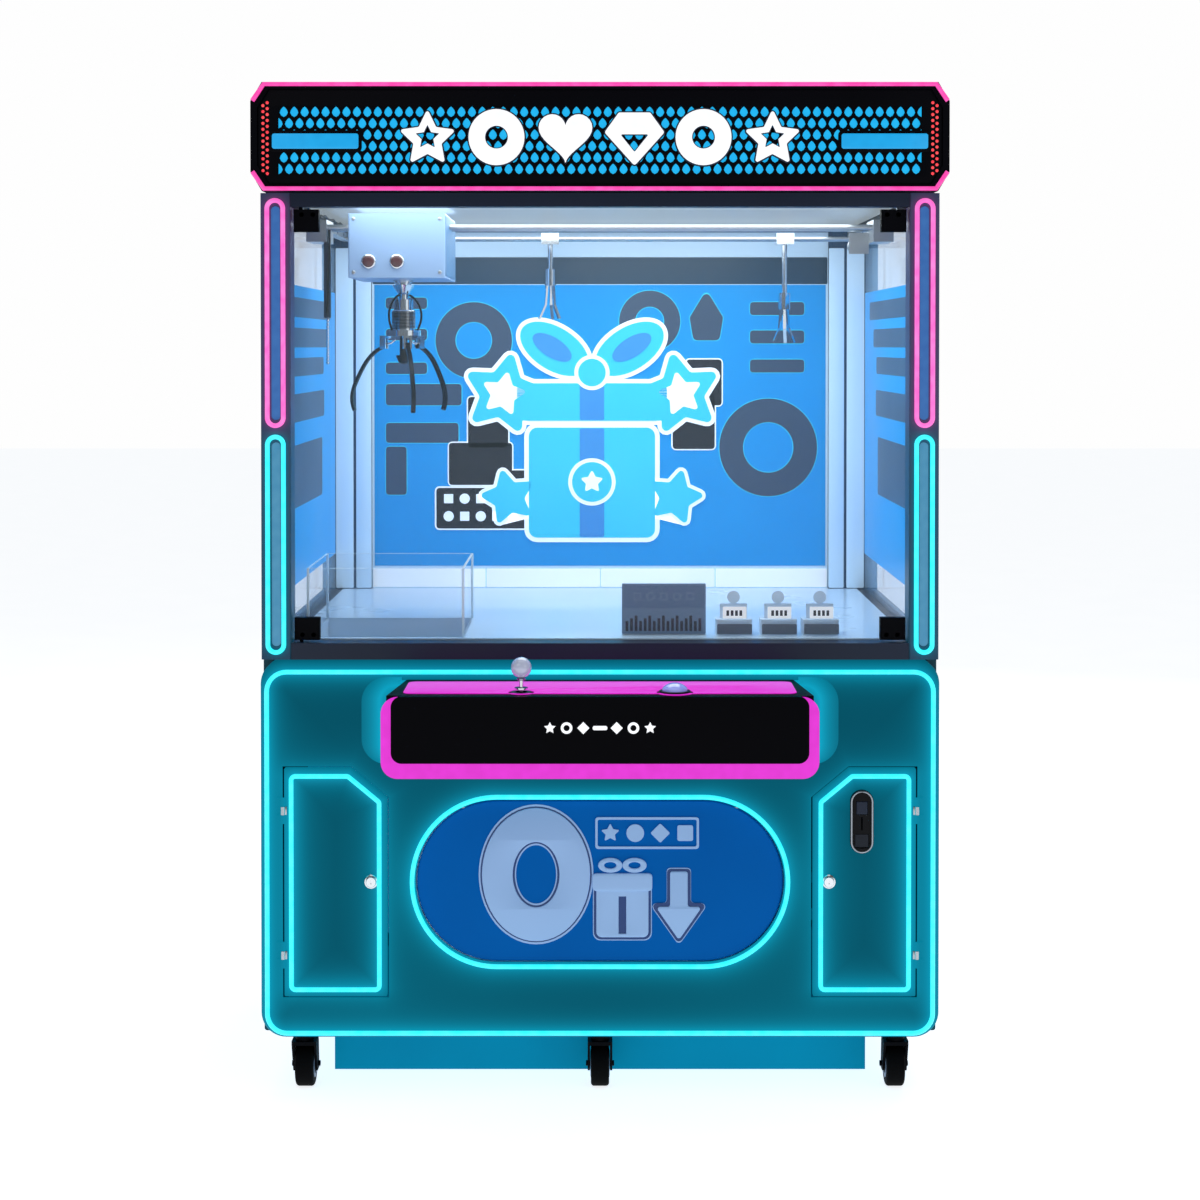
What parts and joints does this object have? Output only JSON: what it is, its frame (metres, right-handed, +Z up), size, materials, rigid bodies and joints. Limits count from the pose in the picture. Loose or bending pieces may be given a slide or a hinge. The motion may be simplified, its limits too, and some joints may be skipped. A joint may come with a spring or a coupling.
{
  "type": "claw crane prize machine",
  "caption": "Wide lit prize crane: glazed cabinet over a moulded base, gantry claw, joystick console, prize flap, service doors and casters.",
  "frame": {"origin": "on the floor, at the centre of the whole footprint from the console's face to the back panel", "axes": "+X to the player's right, +Y to the back of the cabinet, +Z up"},
  "size_m": [1.47, 1.33, 2.18],
  "materials": {
    "teal_lacquer": "gloss",
    "dark_teal_panel": "satin",
    "plinth_blue": "satin",
    "light_tube": "lit",
    "post_teal": "gloss",
    "frame_navy": "satin",
    "clear_glass": "clear",
    "clear_acrylic": "clear",
    "sky_blue_wall": "satin",
    "lit_ceiling": "lit",
    "pale_deck": "satin",
    "white_plastic": "satin",
    "chute_sheet": "satin",
    "sign_black": "gloss",
    "console_black": "gloss",
    "magenta_trim": "lit",
    "black_plastic": "gloss",
    "zinc_steel": "satin",
    "patch_fitting": "satin",
    "flap_blue": "gloss",
    "cover_blue": "satin",
    "chrome_parts": "polished",
    "button_lilac": "gloss",
    "gimbal_black": "matte",
    "caster_steel": "satin",
    "caster_rubber": "matte"
  },
  "bodies": {
    "cabinet": {"base_pan": "plinth_blue", "side_panels": "dark_teal_panel", "rear_panel": "dark_teal_panel", "front_shell": "teal_lacquer", "console_cowl": "teal_lacquer", "light_tubes": "light_tube", "corner_posts": "post_teal", "glass_frame": "frame_navy", "side_glass": "clear_glass", "back_wall": "sky_blue_wall", "ceiling_light": "lit_ceiling", "playfield_deck": "pale_deck", "prize_chute": "chute_sheet", "chute_guard": "clear_acrylic", "deck_fittings": "white_plastic", "canopy_shell": "sign_black", "sign_panel": "sign_black", "console_housing": "console_black", "console_trim": "magenta_trim", "console_glass": "console_black", "control_mounts": "black_plastic", "flap_hinge": "zinc_steel", "gantry_rails": "zinc_steel", "service_equipment": "zinc_steel"},
    "glass_door": {"glass_pane": "clear_glass", "glass_fittings": "patch_fitting"},
    "left_door": {"left_door": "teal_lacquer"},
    "right_door": {"right_door": "teal_lacquer", "coin_entry": "black_plastic"},
    "left_lock": {"left_lock": "chrome_parts"},
    "right_lock": {"right_lock": "chrome_parts"},
    "coin_button": {"coin_reject_button": "button_lilac"},
    "coin_flap": {"coin_return_flap": "chrome_parts"},
    "prize_flap": {"prize_flap": "flap_blue"},
    "gimbal": {"joystick_gimbal": "gimbal_black"},
    "stick": {"joystick_stick": "chrome_parts"},
    "drop_button": {"drop_button": "button_lilac"},
    "bridge": {"bridge": "zinc_steel"},
    "trolley": {"trolley_cover": "cover_blue", "trolley_carriage": "zinc_steel"},
    "hoist_1": {"hoist_tube_1": "chrome_parts"},
    "hoist_2": {"hoist_tube_2": "chrome_parts"},
    "hoist_3": {"hoist_tube_3": "chrome_parts"},
    "claw": {"claw_head": "chrome_parts"},
    "plunger": {"claw_plunger": "chrome_parts"},
    "finger_1": {"claw_finger_1": "chrome_parts"},
    "finger_2": {"claw_finger_2": "chrome_parts"},
    "finger_3": {"claw_finger_3": "chrome_parts"},
    "hanger_left": {"hanger_left": "zinc_steel"},
    "hanger_right": {"hanger_right": "zinc_steel"},
    "caster_front_left": {"caster_front_left_fork": "caster_steel"},
    "caster_front_left_wheel": {"caster_front_left_wheel": "caster_rubber"},
    "caster_front_right": {"caster_front_right_fork": "caster_steel"},
    "caster_front_right_wheel": {"caster_front_right_wheel": "caster_rubber"},
    "caster_back_left": {"caster_back_left_fork": "caster_steel"},
    "caster_back_left_wheel": {"caster_back_left_wheel": "caster_rubber"},
    "caster_back_right": {"caster_back_right_fork": "caster_steel"},
    "caster_back_right_wheel": {"caster_back_right_wheel": "caster_rubber"},
    "caster_centre": {"caster_centre_fork": "caster_steel"},
    "caster_centre_wheel": {"caster_centre_wheel": "caster_rubber"}
  },
  "joints": [
    {"name": "glass_door_swing", "type": "hinge", "parent": "cabinet", "child": "glass_door", "pos_m": [-0.641, -0.409, 1.456], "axis": [0, 0, -1], "range_deg": [0, 100]},
    {"name": "left_door_swing", "type": "hinge", "parent": "cabinet", "child": "left_door", "pos_m": [-0.678, -0.441, 0.477], "axis": [0, 0, -1], "range_deg": [0, 110]},
    {"name": "right_door_swing", "type": "hinge", "parent": "cabinet", "child": "right_door", "pos_m": [0.678, -0.441, 0.477], "axis": [0, 0, 1], "range_deg": [0, 110]},
    {"name": "left_lock_turn", "type": "hinge", "parent": "left_door", "child": "left_lock", "pos_m": [-0.49, -0.425, 0.478], "axis": [0, -1, 0], "range_deg": [0, 90]},
    {"name": "right_lock_turn", "type": "hinge", "parent": "right_door", "child": "right_lock", "pos_m": [0.49, -0.425, 0.478], "axis": [0, 1, 0], "range_deg": [0, 90]},
    {"name": "coin_button_press", "type": "slide", "parent": "right_door", "child": "coin_button", "axis": [0, 1, 0], "range_m": [0, 0.004], "stiffness_N_per_m": 300, "springref_m": -0.003},
    {"name": "coin_flap_swing", "type": "hinge", "parent": "right_door", "child": "coin_flap", "pos_m": [0.56, -0.4367, 0.58], "axis": [1, 0, 0], "range_deg": [0, 70]},
    {"name": "prize_flap_swing", "type": "hinge", "parent": "cabinet", "child": "prize_flap", "pos_m": [0, -0.424, 0.636], "axis": [1, 0, 0], "range_deg": [0, 60]},
    {"name": "stick_side", "type": "hinge", "parent": "cabinet", "child": "gimbal", "pos_m": [-0.162, -0.613, 0.892], "axis": [1, 0, 0], "range_deg": [-13, 13], "stiffness_Nm_per_rad": 0.8},
    {"name": "stick_fore", "type": "hinge", "parent": "gimbal", "child": "stick", "pos_m": [-0.162, -0.613, 0.892], "axis": [0, 1, 0], "range_deg": [-13, 13], "stiffness_Nm_per_rad": 0.8},
    {"name": "drop_button_press", "type": "slide", "parent": "cabinet", "child": "drop_button", "axis": [0, 0, -1], "range_m": [0, 0.004], "stiffness_N_per_m": 500, "springref_m": -0.005},
    {"name": "bridge_travel", "type": "slide", "parent": "cabinet", "child": "bridge", "axis": [0, 1, 0], "range_m": [-0.12, 0.3]},
    {"name": "trolley_travel", "type": "slide", "parent": "bridge", "child": "trolley", "axis": [1, 0, 0], "range_m": [-0.05, 0.9]},
    {"name": "hoist_drop_1", "type": "slide", "parent": "trolley", "child": "hoist_1", "axis": [0, 0, -1], "range_m": [0, 0.11]},
    {"name": "hoist_drop_2", "type": "slide", "parent": "hoist_1", "child": "hoist_2", "axis": [0, 0, -1], "range_m": [0, 0.11]},
    {"name": "hoist_drop_3", "type": "slide", "parent": "hoist_2", "child": "hoist_3", "axis": [0, 0, -1], "range_m": [0, 0.11]},
    {"name": "hoist_drop_4", "type": "slide", "parent": "hoist_3", "child": "claw", "axis": [0, 0, -1], "range_m": [0, 0.11]},
    {"name": "plunger_lift", "type": "slide", "parent": "claw", "child": "plunger", "axis": [0, 0, 1], "range_m": [0, 0.016], "stiffness_N_per_m": 500, "springref_m": -0.03},
    {"name": "finger_close_1", "type": "hinge", "parent": "claw", "child": "finger_1", "pos_m": [-0.49836, -0.04758, 1.626], "axis": [-0.2588, -0.9659, 0], "range_deg": [0, 35.5]},
    {"name": "finger_close_2", "type": "hinge", "parent": "claw", "child": "finger_2", "pos_m": [-0.43958, -0.10636, 1.626], "axis": [0.9659, 0.2588, 0], "range_deg": [0, 35.5]},
    {"name": "finger_close_3", "type": "hinge", "parent": "claw", "child": "finger_3", "pos_m": [-0.41806, -0.02606, 1.626], "axis": [-0.7071, 0.7071, 0], "range_deg": [0, 35.5]},
    {"name": "hanger_left_travel", "type": "slide", "parent": "cabinet", "child": "hanger_left", "axis": [1, 0, 0], "range_m": [-0.4, 0.25]},
    {"name": "hanger_right_travel", "type": "slide", "parent": "cabinet", "child": "hanger_right", "axis": [1, 0, 0], "range_m": [-0.25, 0.13]},
    {"name": "caster_front_left_swivel", "type": "hinge", "parent": "cabinet", "child": "caster_front_left", "pos_m": [-0.646, -0.335, 0.1], "axis": [0, 0, 1], "continuous": true},
    {"name": "caster_front_left_roll", "type": "hinge", "parent": "caster_front_left", "child": "caster_front_left_wheel", "pos_m": [-0.646, -0.311, 0.048], "axis": [1, 0, 0], "continuous": true},
    {"name": "caster_front_right_swivel", "type": "hinge", "parent": "cabinet", "child": "caster_front_right", "pos_m": [0.646, -0.335, 0.1], "axis": [0, 0, 1], "continuous": true},
    {"name": "caster_front_right_roll", "type": "hinge", "parent": "caster_front_right", "child": "caster_front_right_wheel", "pos_m": [0.646, -0.311, 0.048], "axis": [1, 0, 0], "continuous": true},
    {"name": "caster_back_left_swivel", "type": "hinge", "parent": "cabinet", "child": "caster_back_left", "pos_m": [-0.646, 0.555, 0.1], "axis": [0, 0, 1], "continuous": true},
    {"name": "caster_back_left_roll", "type": "hinge", "parent": "caster_back_left", "child": "caster_back_left_wheel", "pos_m": [-0.646, 0.579, 0.048], "axis": [1, 0, 0], "continuous": true},
    {"name": "caster_back_right_swivel", "type": "hinge", "parent": "cabinet", "child": "caster_back_right", "pos_m": [0.646, 0.555, 0.1], "axis": [0, 0, 1], "continuous": true},
    {"name": "caster_back_right_roll", "type": "hinge", "parent": "caster_back_right", "child": "caster_back_right_wheel", "pos_m": [0.646, 0.579, 0.048], "axis": [1, 0, 0], "continuous": true},
    {"name": "caster_centre_swivel", "type": "hinge", "parent": "cabinet", "child": "caster_centre", "pos_m": [0, -0.335, 0.1], "axis": [0, 0, 1], "continuous": true},
    {"name": "caster_centre_roll", "type": "hinge", "parent": "caster_centre", "child": "caster_centre_wheel", "pos_m": [0, -0.311, 0.048], "axis": [1, 0, 0], "continuous": true}
  ],
  "couplings": [
    {"joint": "hoist_drop_2", "follows": "hoist_drop_1", "ratio": 1},
    {"joint": "hoist_drop_3", "follows": "hoist_drop_1", "ratio": 1},
    {"joint": "hoist_drop_4", "follows": "hoist_drop_1", "ratio": 1},
    {"joint": "finger_close_1", "follows": "plunger_lift", "rad_per_m": 38.179},
    {"joint": "finger_close_2", "follows": "plunger_lift", "rad_per_m": 38.179},
    {"joint": "finger_close_3", "follows": "plunger_lift", "rad_per_m": 38.179}
  ]
}
